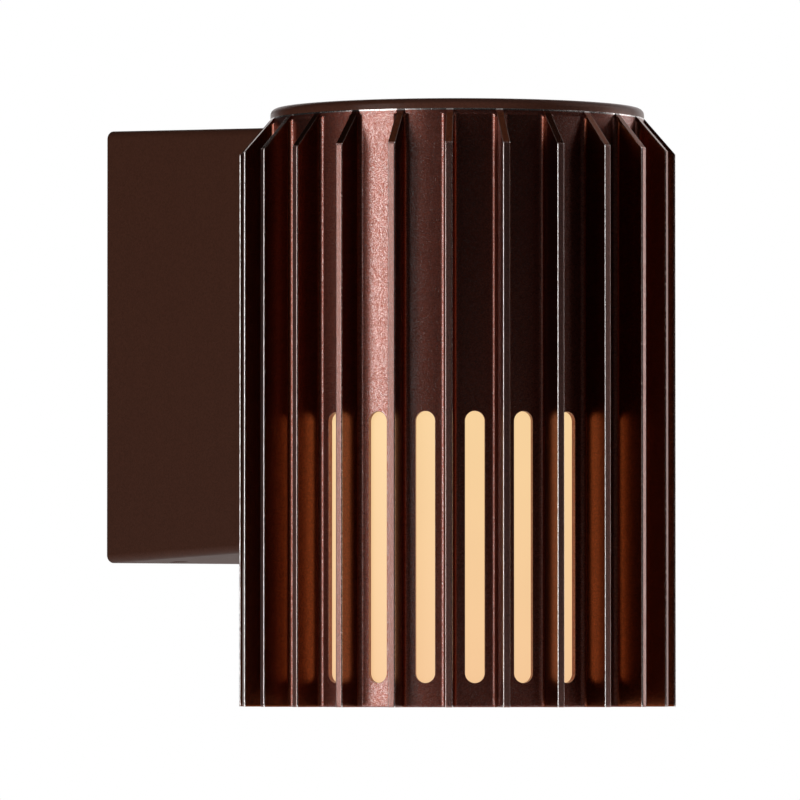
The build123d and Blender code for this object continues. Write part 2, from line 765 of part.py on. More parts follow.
# Terminal block: a moulded row of poles with entries above and below and screw wells behind
with BuildPart() as terminal_block:
    block_plane = Plane.XZ.offset(block_seat)
    with BuildSketch(block_plane):
        with Locations((0, -block_below)):
            RectangleRounded(block_length, block_height, block_end)
    extrude(amount=-block_depth)
    with BuildSketch(Plane.XZ.offset(block_seat - block_depth)):
        with Locations((0, -block_below)):
            with GridLocations(pole_pitch, block_height / 2, pole_count, 2):
                Circle(entry_radius)
            with GridLocations(pole_pitch, 0, 2, 1):
                Circle(small_head_radius + hole_gap)
    extrude(amount=block_depth / 3, mode=Mode.SUBTRACT)
    with BuildSketch(block_plane):
        with Locations((0, -block_below)):
            with GridLocations(pole_pitch, 0, 2, 1):
                Circle(small_screw_radius + hole_gap)
    extrude(amount=-block_depth, mode=Mode.SUBTRACT)
    for side in (-1, 1):
        with BuildSketch(Plane.XY.offset(-block_below + side * block_height / 2)):
            with Locations((0, -lead_depth)):
                with GridLocations(pole_pitch, 0, pole_count, 1):
                    Circle(entry_radius)
        extrude(amount=-side * entry_depth, mode=Mode.SUBTRACT)
terminal_block.part.label = "terminal_block"
export_step(terminal_block.part, "parts/terminal_block.step")

# Terminal screws: between the poles, into the box's bosses
for side, name in ((-1, "left"), (1, "right")):
    with BuildPart() as terminal_screw:
        well_floor = block_seat - block_depth * 2 / 3
        centre = (side * pole_pitch / 2, -block_below)
        with BuildSketch(Plane.XZ.offset(well_floor)):
            with Locations(centre):
                Circle(small_head_radius)
        extrude(amount=-small_screw_radius)
        with BuildSketch(Plane.XZ.offset(well_floor)):
            with Locations(centre):
                Circle(small_screw_radius)
        extrude(amount=block_seat + block_boss_rise * screw_bite - well_floor)
    terminal_screw.part.label = f"terminal_screw_{name}"
    export_step(terminal_screw.part, f"parts/terminal_screw_{name}.step")

# Earth tag: a ring under the earth screw with a barrel for its lead
with BuildPart() as earth_tag:
    with BuildSketch(Plane.XZ.offset(earth_seat)):
        with Locations((earth_across, earth_above)):
            Circle(tag_radius)
            Circle(screw_radius + hole_gap, mode=Mode.SUBTRACT)
    extrude(amount=-tag_thickness)
    barrel_radius = lead_radius + tag_thickness
    barrel_depth = earth_seat - barrel_radius
    with BuildSketch(Plane.YZ.offset(earth_across - tag_radius - tag_barrel)):
        with Locations((-barrel_depth, earth_above)):
            Circle(barrel_radius)
    extrude(amount=tag_barrel + tag_thickness)
    with BuildSketch(Plane.YZ.offset(earth_across - tag_radius - tag_barrel)):
        with Locations((-barrel_depth, earth_above)):
            Circle(lead_radius + press_gap)
    extrude(amount=tag_barrel - tag_thickness, mode=Mode.SUBTRACT)
earth_tag.part.label = "earth_tag"
export_step(earth_tag.part, "parts/earth_tag.step")

# Earth screw: clamps the tag to its boss
with BuildPart() as earth_screw:
    tag_face = Plane.XZ.offset(earth_seat - tag_thickness)
    with BuildSketch(tag_face):
        with Locations((earth_across, earth_above)):
            Circle(screw_head_radius)
    extrude(amount=-screw_head_height)
    with BuildSketch(tag_face):
        with Locations((earth_across, earth_above)):
            Circle(screw_radius)
    extrude(amount=tag_thickness + earth_boss_rise * screw_bite)
earth_screw.part.label = "earth_screw"
export_step(earth_screw.part, "parts/earth_screw.step")

# Live and neutral leads: up from the block, through the bush and over into the lampholder's back
for side, name in ((-1, "live"), (1, "neutral")):
    with BuildPart() as lead:
        block_x = side * pole_pitch
        bush_x = side * lead_spacing / 2
        holder_x = side * holder_upper_radius / 3
        arch = shade_foot + holder_top + lead_arch
        with BuildLine() as route:
            FilletPolyline(
                (block_x, -lead_depth, entry_floor),
                (block_x, -lead_depth, bush_z - lead_swing),
                (bush_x, -lead_depth - lead_lean, bush_z),
                (bush_x, -flange_inner - lead_past_bush, bush_z),
                (holder_x, -flange_inner - 2 * lead_past_bush, arch - lead_lean),
                (holder_x, holder_entry_y, arch),
                (holder_x, holder_entry_y, shade_foot + holder_top - entry_depth / 2),
                radius=lead_bend,
            )
        with BuildSketch(Plane(origin=route.line @ 0, z_dir=route.line % 0)):
            Circle(lead_radius)
        sweep()
    length = route.wire().length
    print(name, "lead", round(length, 1), "mm long, fills", lead.part.volume / (pi * lead_radius**2 * length))
    lead.part.label = f"lead_{name}"
    export_step(lead.part, f"parts/lead_{name}.step")

# Earth lead: from the middle pole to the tag
with BuildPart() as lead_earth:
    tag_mouth = earth_across - tag_radius - tag_barrel
    with BuildLine() as route:
        FilletPolyline(
            (0, -lead_depth, entry_floor),
            (0, -lead_depth, earth_above - earth_swing),
            (tag_mouth - tag_barrel, -barrel_depth, earth_above),
            (tag_mouth + tag_barrel - 2 * tag_thickness, -barrel_depth, earth_above),
            radius=lead_bend,
        )
    with BuildSketch(Plane(origin=route.line @ 0, z_dir=route.line % 0)):
        Circle(lead_radius)
    sweep()
print("earth lead", round(route.wire().length, 1), "mm long")
lead_earth.part.label = "lead_earth"
export_step(lead_earth.part, "parts/lead_earth.step")
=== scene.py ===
# %% [markdown]
# Dressing a wall light
#
# The object is an outdoor wall light. A brown painted tube with upright fins stands in front of a wall box, and an
# opal jar glows behind a row of slots in the tube. The solids come from the CAD model, and this notebook gives
# them a camera, a small studio, finishes made of shader nodes and the fine pieces that the CAD model leaves plain:
# screw threads and screw heads with their cross recesses, the rolled thread of the lamp's cap, the ridge on the
# jar's neck, the tube's upper rim and the fins' upper ends.
#
# Everything is in metres. The origin is on the wall at the middle of the wall box, +Y goes into the wall, +Z is up.

# %% Load the solids
import math

import bpy
import bmesh
import numpy as np
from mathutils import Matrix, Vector


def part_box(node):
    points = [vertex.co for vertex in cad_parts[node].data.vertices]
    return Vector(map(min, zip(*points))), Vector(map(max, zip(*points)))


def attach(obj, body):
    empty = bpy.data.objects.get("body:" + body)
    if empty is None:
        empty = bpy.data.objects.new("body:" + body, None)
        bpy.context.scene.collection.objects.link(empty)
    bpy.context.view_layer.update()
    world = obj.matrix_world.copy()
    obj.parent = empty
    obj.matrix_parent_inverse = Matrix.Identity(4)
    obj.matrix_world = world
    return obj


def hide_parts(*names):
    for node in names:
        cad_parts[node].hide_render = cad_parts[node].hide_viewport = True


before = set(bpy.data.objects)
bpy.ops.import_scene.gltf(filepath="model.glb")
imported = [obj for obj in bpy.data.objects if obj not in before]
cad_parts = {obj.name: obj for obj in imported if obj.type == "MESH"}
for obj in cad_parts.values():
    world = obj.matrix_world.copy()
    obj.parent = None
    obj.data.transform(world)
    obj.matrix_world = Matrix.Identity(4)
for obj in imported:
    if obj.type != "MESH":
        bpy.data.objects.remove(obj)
bpy.context.view_layer.update()

# %% [markdown]
# The camera
#
# A product photograph like this one is taken from far away with a long lens, so upright lines stay upright and the
# fins at both sides are nearly as wide as those in the middle. The camera could be aimed by shifting its lens, but a
# plain turn towards the object is easier to keep right in other views, so it has a place, a heading and a small
# upward tilt.

# %% Camera from the left, a little below the middle
CAMERA_PLACE = (-1.1254, -1.6799, -0.0712)
CAMERA_HEADING = math.radians(34.934)
CAMERA_TILT = math.radians(1.696)
LENS_MILLIMETRES = 402.75

looking = Vector((
    math.sin(CAMERA_HEADING) * math.cos(CAMERA_TILT),
    math.cos(CAMERA_HEADING) * math.cos(CAMERA_TILT),
    math.sin(CAMERA_TILT),
))
camera = bpy.data.objects.new("camera", bpy.data.cameras.new("camera"))
bpy.context.scene.collection.objects.link(camera)
camera.location = CAMERA_PLACE
camera.rotation_euler = looking.to_track_quat("-Z", "Y").to_euler()
camera.data.lens = LENS_MILLIMETRES
camera.data.sensor_width = 36.0
camera.data.clip_start = 0.05
camera.data.clip_end = 50.0
bpy.context.scene.camera = camera
bpy.context.scene.view_settings.view_transform = "Standard"
print("camera looks along", tuple(round(c, 3) for c in looking))

# %% [markdown]
# The studio
#
# Dark satin paint shows what stands around it more than its own colour. In such a studio the main light is a tall
# soft box at the left, a white backdrop stands behind the object and the side of the photographer stays dark.
# The bright stripes on the tube are that soft box, and the silvery lines on the edges are the backdrop.
#
# The backdrop could be a real wall, but it would get in the way of the views from behind. So the world plays it:
# a camera ray sees plain white, a mirrored ray sees white behind the object and a dark room around the rest, and a
# diffuse ray gets an even grey.

# %% World with a white backdrop and a dark front
CAMERA_SIDE = -35.3
BACKDROP_TURN = 176.0
BACKDROP_FROM = math.cos(math.radians(20.0))
ROOM_FROM = math.cos(math.radians(38.0))
ROOM_LEVEL = 0.013
EVEN_LEVEL = 0.20


def direction_at(heading, rise=0.0):
    """Unit vector away from the object. Heading 0 is straight in front of the wall and 90 is to its right."""
    angle, lift = math.radians(heading), math.radians(rise)
    return Vector((math.sin(angle) * math.cos(lift), -math.cos(angle) * math.cos(lift), math.sin(lift)))


world = bpy.data.worlds.new("studio")
bpy.context.scene.world = world
world.use_nodes = True
world.cycles.sampling_method = "NONE"
sky = world.node_tree
sky.nodes.clear()


def link(tree, source, target):
    """Joins an output of one node to an input of another."""
    tree.links.new(source, target)


def calculate(tree, operation, first, second=0.0):
    """One sum of two numbers, each a plain value or another node's output."""
    node = tree.nodes.new("ShaderNodeMath")
    node.operation = operation
    for socket, value in zip(node.inputs, (first, second)):
        if isinstance(value, (int, float)):
            socket.default_value = value
        else:
            link(tree, value, socket)
    return node.outputs[0]


def stretch(tree, value, low, high, from_low=0.0, from_high=1.0, smooth=False):
    """Maps a value from one range to another, held at both ends."""
    node = tree.nodes.new("ShaderNodeMapRange")
    if smooth:
        node.interpolation_type = "SMOOTHSTEP"
    link(tree, value, node.inputs["Value"])
    node.inputs["From Min"].default_value = from_low
    node.inputs["From Max"].default_value = from_high
    node.inputs["To Min"].default_value = low
    node.inputs["To Max"].default_value = high
    return node.outputs["Result"]


direction = sky.nodes.new("ShaderNodeTexCoord").outputs["Generated"]
towards = sky.nodes.new("ShaderNodeVectorMath")
towards.operation = "DOT_PRODUCT"
link(sky, direction, towards.inputs[0])
towards.inputs[1].default_value = direction_at(CAMERA_SIDE + BACKDROP_TURN)
mirrored = stretch(sky, towards.outputs["Value"], ROOM_LEVEL, 1.0, ROOM_FROM, BACKDROP_FROM, smooth=True)
ray = sky.nodes.new("ShaderNodeLightPath").outputs
shiny = calculate(sky, "MAXIMUM", ray["Is Glossy Ray"], ray["Is Transmission Ray"])
seen = calculate(sky, "MAXIMUM", ray["Is Camera Ray"], calculate(sky, "MULTIPLY", shiny, mirrored))
even = calculate(sky, "MULTIPLY", ray["Is Diffuse Ray"], EVEN_LEVEL)
background = sky.nodes.new("ShaderNodeBackground")
link(sky, calculate(sky, "ADD", seen, even), background.inputs["Strength"])
background.inputs["Color"].default_value = (1.0, 1.0, 1.0, 1.0)
link(sky, background.outputs[0], sky.nodes.new("ShaderNodeOutputWorld").inputs["Surface"])
print("world: backdrop behind, dark room at", ROOM_LEVEL)

# %% [markdown]
# The soft boxes
#
# Dark paint is lit with broad boxes rather than with bulbs, because each box shows as a stripe with soft ends. The
# tall box at the left makes the bright stripe on the tube, and a dimmer fill box beside it carries the stripe on. A
# rim box behind at the right draws the fins' edges, a side box and a box high behind light the fins' sloped ends,
# and a weak box overhead keeps the top from going black. They could be glowing planes, but area lamps give the same
# shapes with less noise. Each is set by its angle from the camera's side and by its radiance.

# %% Soft boxes
OBJECT_MIDDLE = Vector((0.0, -0.085, -0.015))


def soft_box(name, turn, rise, distance, width, height, radiance):
    """A rectangular area lamp at an angle from the camera's side, looking at the object.

    Its power is its radiance times its area times pi."""
    lamp = bpy.data.lights.new(name, "AREA")
    lamp.shape = "RECTANGLE"
    lamp.size, lamp.size_y = width, height
    lamp.energy = radiance * width * height * math.pi
    box = bpy.data.objects.new(name, lamp)
    bpy.context.scene.collection.objects.link(box)
    out = direction_at(CAMERA_SIDE + turn, rise)
    box.location = OBJECT_MIDDLE + distance * out
    box.rotation_euler = (-out).to_track_quat("-Z", "Y").to_euler()
    box.visible_camera = False
    print(name, "at", tuple(round(c, 2) for c in box.location))


soft_box("tall_box", turn=-49.5, rise=2.0, distance=1.6, width=0.68, height=1.5, radiance=3.7)
soft_box("fill_box", turn=-32.0, rise=3.0, distance=1.8, width=0.40, height=1.4, radiance=0.55)
soft_box("rim_box", turn=122.0, rise=6.0, distance=1.6, width=0.66, height=1.4, radiance=2.0)
soft_box("side_box", turn=78.0, rise=19.0, distance=1.5, width=0.55, height=0.55, radiance=0.9)
soft_box("back_box", turn=138.0, rise=40.0, distance=1.5, width=0.75, height=0.65, radiance=0.55)
soft_box("overhead_box", turn=0.0, rise=70.0, distance=1.4, width=1.3, height=1.2, radiance=0.24)

# %% [markdown]
# The floor
#
# A pale sheet lies under the light and takes its soft shadow. It could reach to the horizon, but then the paint
# would mirror it everywhere. A round sheet that fades out at its edge is enough, and seen from below it lets the
# camera look through, so the open foot of the tube can be looked into. A little glow towards the camera lifts it to
# the white of the backdrop, and its diffuse part keeps the shadow.

# %% Pale round floor
FLOOR_HEIGHT = -0.165
FLOOR_RADIUS = 0.95
FLOOR_MIDDLE = (0.15, 0.15)
FLOOR_FADE_FROM = 0.45
FLOOR_LIFT = 0.55

steps = np.linspace(0, 2 * np.pi, 96, endpoint=False)
ring = np.stack([
    FLOOR_MIDDLE[0] + FLOOR_RADIUS * np.cos(steps),
    FLOOR_MIDDLE[1] + FLOOR_RADIUS * np.sin(steps),
    np.full_like(steps, FLOOR_HEIGHT),
], axis=1)
floor_mesh = bpy.data.meshes.new("floor")
floor_mesh.from_pydata(ring.tolist(), [], [list(range(len(ring)))])
floor = bpy.data.objects.new("floor", floor_mesh)
bpy.context.scene.collection.objects.link(floor)

floor_finish = bpy.data.materials.new("floor_paper")
floor_finish.use_nodes = True
tree = floor_finish.node_tree
tree.nodes.clear()
place = tree.nodes.new("ShaderNodeTexCoord").outputs["Object"]
offset = tree.nodes.new("ShaderNodeVectorMath")
offset.operation = "DISTANCE"
link(tree, place, offset.inputs[0])
offset.inputs[1].default_value = (*FLOOR_MIDDLE, FLOOR_HEIGHT)
faded = stretch(tree, offset.outputs["Value"], 0.0, 1.0, FLOOR_FADE_FROM, FLOOR_RADIUS, smooth=True)
behind = tree.nodes.new("ShaderNodeNewGeometry").outputs["Backfacing"]
paper = tree.nodes.new("ShaderNodeBsdfDiffuse")
paper.inputs["Color"].default_value = (0.86, 0.86, 0.86, 1.0)
glow = tree.nodes.new("ShaderNodeEmission")
ray = tree.nodes.new("ShaderNodeLightPath").outputs
looked_at = calculate(tree, "MAXIMUM", ray["Is Camera Ray"],
                      calculate(tree, "MAXIMUM", ray["Is Glossy Ray"], ray["Is Transmission Ray"]))
link(tree, calculate(tree, "MULTIPLY", looked_at, FLOOR_LIFT), glow.inputs["Strength"])
lit = tree.nodes.new("ShaderNodeAddShader")
link(tree, paper.outputs[0], lit.inputs[0])
link(tree, glow.outputs[0], lit.inputs[1])
clear = tree.nodes.new("ShaderNodeBsdfTransparent")
either = tree.nodes.new("ShaderNodeMixShader")
link(tree, calculate(tree, "MAXIMUM", faded, behind), either.inputs["Fac"])
link(tree, lit.outputs[0], either.inputs[1])
link(tree, clear.outputs[0], either.inputs[2])
link(tree, either.outputs[0], tree.nodes.new("ShaderNodeOutputMaterial").inputs["Surface"])
floor_mesh.materials.append(floor_finish)
print("floor at", FLOOR_HEIGHT, "radius", FLOOR_RADIUS)

# %% [markdown]
# Helpers for finishes
#
# Each finish is one Principled shader whose colour, roughness and bump are driven by small patterns. A pattern could
# be laid out by hand on a UV map, but noise in Object coordinates has its scale in real metres, runs over edges
# without seams, and stays on a piece that turns or slides.

# %% Pattern helpers
def start_finish(name):
    """An empty finish: its material, its Principled shader and the Object coordinates of its surface."""
    finish = bpy.data.materials.new(name)
    finish.use_nodes = True
    shader = finish.node_tree.nodes["Principled BSDF"]
    place = finish.node_tree.nodes.new("ShaderNodeTexCoord").outputs["Object"]
    return finish, shader, place


def cloud(tree, place, size, detail=2.0):
    """Soft noise whose blotches are about one size across."""
    node = tree.nodes.new("ShaderNodeTexNoise")
    link(tree, place, node.inputs["Vector"])
    node.inputs["Scale"].default_value = 1.0 / size
    node.inputs["Detail"].default_value = detail
    return node.outputs["Fac"]


def flakes(tree, place, size):
    """Small cells of one size, each with a grey level of its own."""
    node = tree.nodes.new("ShaderNodeTexVoronoi")
    link(tree, place, node.inputs["Vector"])
    node.inputs["Scale"].default_value = 1.0 / size
    parts = tree.nodes.new("ShaderNodeSeparateColor")
    link(tree, node.outputs["Color"], parts.inputs[0])
    return parts.outputs[0]


def squeezed(tree, place, factors):
    """Coordinates stretched by three factors, which draws a pattern out into a brushed one."""
    node = tree.nodes.new("ShaderNodeMapping")
    link(tree, place, node.inputs["Vector"])
    node.inputs["Scale"].default_value = factors
    return node.outputs["Vector"]


def between(tree, factor, first, second):
    """A colour that goes from the first to the second as the factor goes from 0 to 1."""
    node = tree.nodes.new("ShaderNodeMix")
    node.data_type = "RGBA"
    link(tree, factor, node.inputs[0])
    node.inputs[6].default_value = (*first, 1.0)
    node.inputs[7].default_value = (*second, 1.0)
    return node.outputs[2]


def raised(tree, height, depth, under=None):
    """Bump from a pattern: its white stands higher than its black by depth."""
    node = tree.nodes.new("ShaderNodeBump")
    link(tree, height, node.inputs["Height"])
    node.inputs["Distance"].default_value = depth
    node.inputs["Strength"].default_value = 1.0
    if under is not None:
        link(tree, under, node.inputs["Normal"])
    return node.outputs["Normal"]


def rounded_edges(tree, radius):
    """Shading normals that turn smoothly over an edge, as paint does. The radius is a value or a node's output."""
    node = tree.nodes.new("ShaderNodeBevel")
    node.samples = 6
    if isinstance(radius, float):
        node.inputs["Radius"].default_value = radius
    else:
        link(tree, radius, node.inputs["Radius"])
    return node.outputs["Normal"]


print("pattern helpers are ready")

# %% [markdown]
# Brown metallic paint
#
# The tube, the cap and the box are powder coated in a dark brown with fine metal flakes. The flakes shine in the
# brown's own colour, and a thin clear layer on top adds a faint gleam. The layer has a slight orange peel, and it is
# rounded over sharp edges. A plain brown would look like plastic, so the shader is metallic and small cells change
# its brightness flake by flake. The tube shows this most, and the cap and the box are duller.

# %% Paint made of flakes
FLAKE_SIZE = 0.00026
PATCH_SIZE = 0.004
PEEL_SIZE = 0.0009
PEEL_DEPTH = 0.000006


def blend_colours(tree, factor, first, second):
    """Mixes a colour that comes from a node with a second one, from a node or plain."""
    node = tree.nodes.new("ShaderNodeMix")
    node.data_type = "RGBA"
    link(tree, factor, node.inputs[0])
    link(tree, first, node.inputs[6])
    if isinstance(second, tuple):
        node.inputs[7].default_value = (*second, 1.0)
    else:
        link(tree, second, node.inputs[7])
    return node.outputs[2]


def flake_paint(tree, place, browns, rough):
    """Colour, roughness and grain of the paint.

    A cell's grey level mixes two browns, and soft noise moves the roughness a little."""
    grain = flakes(tree, place, FLAKE_SIZE)
    dullness = stretch(tree, cloud(tree, place, PATCH_SIZE, detail=3.0), rough - 0.02, rough + 0.03)
    return between(tree, grain, *browns), dullness, grain


def peeled(tree, place, grain, grain_depth, under, peel=PEEL_SIZE, peel_depth=PEEL_DEPTH):
    """Bump of the paint: orange peel over the shape below it, and flakes over the peel."""
    skin = raised(tree, cloud(tree, place, peel), peel_depth, under=under)
    return raised(tree, grain, grain_depth, under=skin)


print("paint has flakes of", FLAKE_SIZE, "metres")

# %% [markdown]
# The cap's leaning edge
#
# The cap's low edge leans inwards from its foot to the flat top, as the edge of a cast or pressed part does, so it
# mirrors what is above. The solid has an upright band with a rounded corner, which would mirror the tall soft box.
# The band could be modelled again, but so slight a lean hardly changes the outline, so a bump is enough. Its height
# falls off along a hyperbola above the foot. The cap's paint is duller than the tube's and only partly metallic.

# %% Paint for the cap
CAP_BROWNS = ((0.135, 0.046, 0.027), (0.185, 0.063, 0.038))
CAP_ROUGH = 0.38
CAP_ROUND = 0.00012
CAP_GRAIN_DEPTH = 0.000005
CAP_BAND = 0.0028
CAP_UPRIGHT = 0.00028
CAP_LEAN = 0.60
CAP_BEND = 0.0004
LEAN_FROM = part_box("top_cap")[1].z - CAP_BAND + CAP_UPRIGHT

cap_paint, shader, place = start_finish("cap_paint")
tree = cap_paint.node_tree
colour, dullness, grain = flake_paint(tree, place, CAP_BROWNS, CAP_ROUGH)
link(tree, colour, shader.inputs["Base Color"])
link(tree, dullness, shader.inputs["Roughness"])
parts = tree.nodes.new("ShaderNodeSeparateXYZ")
link(tree, place, parts.inputs[0])
rise = calculate(tree, "MAXIMUM", calculate(tree, "SUBTRACT", parts.outputs["Z"], LEAN_FROM), 0.0)
bent = calculate(tree, "SQRT", calculate(tree, "ADD", calculate(tree, "MULTIPLY", rise, rise), CAP_BEND ** 2))
edge = raised(tree, calculate(tree, "MULTIPLY", bent, -1.0), CAP_LEAN, under=rounded_edges(tree, CAP_ROUND))
link(tree, peeled(tree, place, grain, CAP_GRAIN_DEPTH, edge), shader.inputs["Normal"])
shader.inputs["Metallic"].default_value = 0.55
shader.inputs["Specular IOR Level"].default_value = 0.20
shader.inputs["Coat Weight"].default_value = 0.20
shader.inputs["Coat Roughness"].default_value = 0.26
print("cap paint: the edge leans from", round(LEAN_FROM, 4))

# %% [markdown]
# The box has a duller coat of the same brown
#
# The casting of the box is rougher than the drawn tube, so its paint looks matt and even. Most of its colour is
# scattered rather than mirrored, and the flakes hardly show. So it is only partly metallic here, its two browns lie
# close together, and its gloss is low.

# %% Matt paint for the box
BOX_BROWNS = ((0.064, 0.0215, 0.0118), (0.084, 0.0285, 0.0160))
BOX_ROUGH = (0.52, 0.60)
BOX_FLAKE = 0.00030
BOX_GRAIN_DEPTH = 0.000005
BOX_PEEL = 0.0011
BOX_PEEL_DEPTH = 0.000012
BOX_ROUND = 0.00015

box_paint, shader, place = start_finish("box_paint")
tree = box_paint.node_tree
grain = flakes(tree, place, BOX_FLAKE)
link(tree, between(tree, grain, *BOX_BROWNS), shader.inputs["Base Color"])
link(tree, stretch(tree, cloud(tree, place, PATCH_SIZE, detail=3.0), *BOX_ROUGH), shader.inputs["Roughness"])
edge = rounded_edges(tree, BOX_ROUND)
skin = peeled(tree, place, grain, BOX_GRAIN_DEPTH, edge, BOX_PEEL, BOX_PEEL_DEPTH)
link(tree, skin, shader.inputs["Normal"])
shader.inputs["Metallic"].default_value = 0.30
shader.inputs["Specular IOR Level"].default_value = 0.11
print("box paint:", box_paint.name)

# %% [markdown]
# The tube's measures
#
# The tube is an extrusion, cut to length, with fins at even steps round it. Its masks and its fine pieces need the
# same few measures. They could be read off the mesh, but two radii, a fin's thickness and a step say it all, so
# these are written down and only the heights come from the solids.

# %% Measures of the tube
TUBE_AXIS = (0.0, -0.0905)
TUBE_RADIUS = 0.0407
FIN_RADIUS = 0.0475
FIN_DEPTH = FIN_RADIUS - TUBE_RADIUS
FIN_HALF = 0.0008
FIN_STEP = math.radians(15.0)
SHADE_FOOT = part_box("finned_shade")[0].z
SHADE_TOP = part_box("finned_shade")[1].z
CAP_SHOWN = 0.0022
RIM_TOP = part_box("top_cap")[1].z - CAP_SHOWN
FIN_SLOPE = (RIM_TOP - SHADE_TOP + FIN_DEPTH) / FIN_DEPTH
print("tube: fins every", round(math.degrees(FIN_STEP), 1), "degrees, foot at", round(SHADE_FOOT, 4))

# %% [markdown]
# Worn edges of the fins
#
# The fins have long sharp edges, and there the layer of paint is so thin that the metal shines through as a fine
# speckled line. Their tips are a little worn too, and so is the tube's upper rim. A mask could come from the mesh's
# curvature, but the CAD mesh has too few points for that. The fins repeat by a fixed angle, though, so the masks are
# worked out from the place alone: how far a point is from the tube's axis, and how far it is from the middle of its
# fin. The same distance from the axis tells the fins' sides from the tube between them.

# %% Masks of the fins
TIP_BAND = (0.00040, 0.00022)
SLOPE_BAND = (0.00040, 0.00020)
SIDE_BAND = (0.00020, 0.00006)
RIM_BAND = (0.00038, 0.00028)
SIDES_FROM, SIDES_TO = 0.0001, 0.0010
SLOPE_FROM, SLOPE_TO = 0.0010, 0.0016
SLOPE_WEAR = 0.22
RIM_WEAR = 0.8


def grows(tree, value, start, end, full=1.0):
    """A mask that is 0 up to its start and reaches its full value at its end."""
    return stretch(tree, value, 0.0, full, start, end)


def below(tree, value, limit, band, full=1.0):
    """A mask of what lies just below a limit: it grows between the band's two distances from the limit."""
    return grows(tree, value, limit - band[0], limit - band[1], full)


def distance_from_axis(tree, across, depth):
    """Distance from the tube's upright axis: the root of the two squares."""
    depth = calculate(tree, "SUBTRACT", depth, TUBE_AXIS[1])
    squares = calculate(tree, "ADD", calculate(tree, "MULTIPLY", across, across),
                        calculate(tree, "MULTIPLY", depth, depth))
    return calculate(tree, "SQRT", squares)


def fin_edges(tree, place):
    """Masks of the worn edges, the fins' sides and the fins' tips, and the height above the tube's foot.

    Reach is the distance from the axis, offset is the distance from the nearest fin's middle plane. An edge is
    where the offset is nearly half a fin's thickness, and where the reach, or the height plus the reach times the
    slope, is at its limit. The rim's edge is where the height is at its limit."""
    parts = tree.nodes.new("ShaderNodeSeparateXYZ")
    link(tree, place, parts.inputs[0])
    across, height = parts.outputs["X"], parts.outputs["Z"]
    depth = calculate(tree, "SUBTRACT", parts.outputs["Y"], TUBE_AXIS[1])
    reach = distance_from_axis(tree, across, parts.outputs["Y"])
    turn = calculate(tree, "DIVIDE", calculate(tree, "ARCTAN2", depth, across), FIN_STEP)
    off_middle = calculate(tree, "ABSOLUTE", calculate(tree, "SUBTRACT", calculate(tree, "FRACT", turn), 0.5))
    offset = calculate(tree, "MULTIPLY", calculate(tree, "MULTIPLY", off_middle, FIN_STEP), reach)
    tip = below(tree, reach, FIN_RADIUS, TIP_BAND)
    slope_sum = calculate(tree, "ADD", calculate(tree, "MULTIPLY", reach, FIN_SLOPE), height)
    slope_end = RIM_TOP + FIN_SLOPE * TUBE_RADIUS
    slope = below(tree, slope_sum, slope_end, SLOPE_BAND, full=SLOPE_WEAR)
    beyond_tube = grows(tree, reach, TUBE_RADIUS + SLOPE_FROM, TUBE_RADIUS + SLOPE_TO)
    limit = calculate(tree, "MAXIMUM", tip, calculate(tree, "MULTIPLY", slope, beyond_tube))
    near_side = below(tree, offset, FIN_HALF, SIDE_BAND)
    rim = below(tree, height, RIM_TOP, RIM_BAND, full=RIM_WEAR)
    edge = calculate(tree, "MAXIMUM", calculate(tree, "MULTIPLY", limit, near_side), rim)
    sides = grows(tree, reach, TUBE_RADIUS + SIDES_FROM, TUBE_RADIUS + SIDES_TO)
    sides = calculate(tree, "SUBTRACT", sides, tip)
    return edge, sides, tip, calculate(tree, "SUBTRACT", height, SHADE_FOOT)


print("masks are ready, slopes rise", round(FIN_SLOPE, 3), "for 1 of reach")

# %% [markdown]
# The tube's paint
#
# Among the tube's brown flakes lie pale smooth ones, and these make a light stripe on the tube sparkle. Less powder
# reaches the fins' sides, so their brown is deeper and warmer and has none of the pale flecks. Each kind of face
# could have a material of its own, but the masks do it without cutting the mesh: each one blends in a colour, and
# most of them take some roughness away.

# %% Paint for the tube
TUBE_BROWNS = ((0.152, 0.038, 0.023), (0.262, 0.066, 0.043))
SIDE_BROWNS = ((0.130, 0.030, 0.009), (0.238, 0.058, 0.019))
FLECK_COLOUR = (0.45, 0.395, 0.38)
TIP_COLOUR = (0.52, 0.34, 0.30)
WORN_COLOUR = (0.93, 0.89, 0.87)
TUBE_ROUGH = 0.37
TUBE_GRAIN_DEPTH = 0.0000055
FLECK_SIZE = 0.00006
FLECK_LEVELS = (0.80, 0.84)
SPECKLE_SIZE = 0.0005
TIP_WEAR = 0.28
WORN_POLISH, SIDE_POLISH, FLECK_POLISH = 0.20, 0.13, 0.17
EDGE_ROUND, FOOT_ROUND = 0.00015, 0.0006
FOOT_FROM, FOOT_TO = 0.0005, 0.0016

shade_paint, shader, place = start_finish("shade_paint")
tree = shade_paint.node_tree
colour, dullness, grain = flake_paint(tree, place, TUBE_BROWNS, TUBE_ROUGH)
edge, sides, tips, above_foot = fin_edges(tree, place)
fleck = grows(tree, flakes(tree, place, FLECK_SIZE), *FLECK_LEVELS)
fleck = calculate(tree, "MULTIPLY", fleck, calculate(tree, "SUBTRACT", 1.0, sides))
speckle = stretch(tree, cloud(tree, place, SPECKLE_SIZE, detail=1.0), 0.45, 1.0, 0.33, 0.55)
worn = calculate(tree, "MULTIPLY", edge, speckle)
colour = blend_colours(tree, fleck, colour, FLECK_COLOUR)
colour = blend_colours(tree, sides, colour, between(tree, grain, *SIDE_BROWNS))
colour = blend_colours(tree, calculate(tree, "MULTIPLY", tips, TIP_WEAR), colour, TIP_COLOUR)
link(tree, blend_colours(tree, worn, colour, WORN_COLOUR), shader.inputs["Base Color"])
polished = calculate(tree, "ADD", calculate(tree, "MULTIPLY", worn, WORN_POLISH),
                     calculate(tree, "MULTIPLY", sides, SIDE_POLISH))
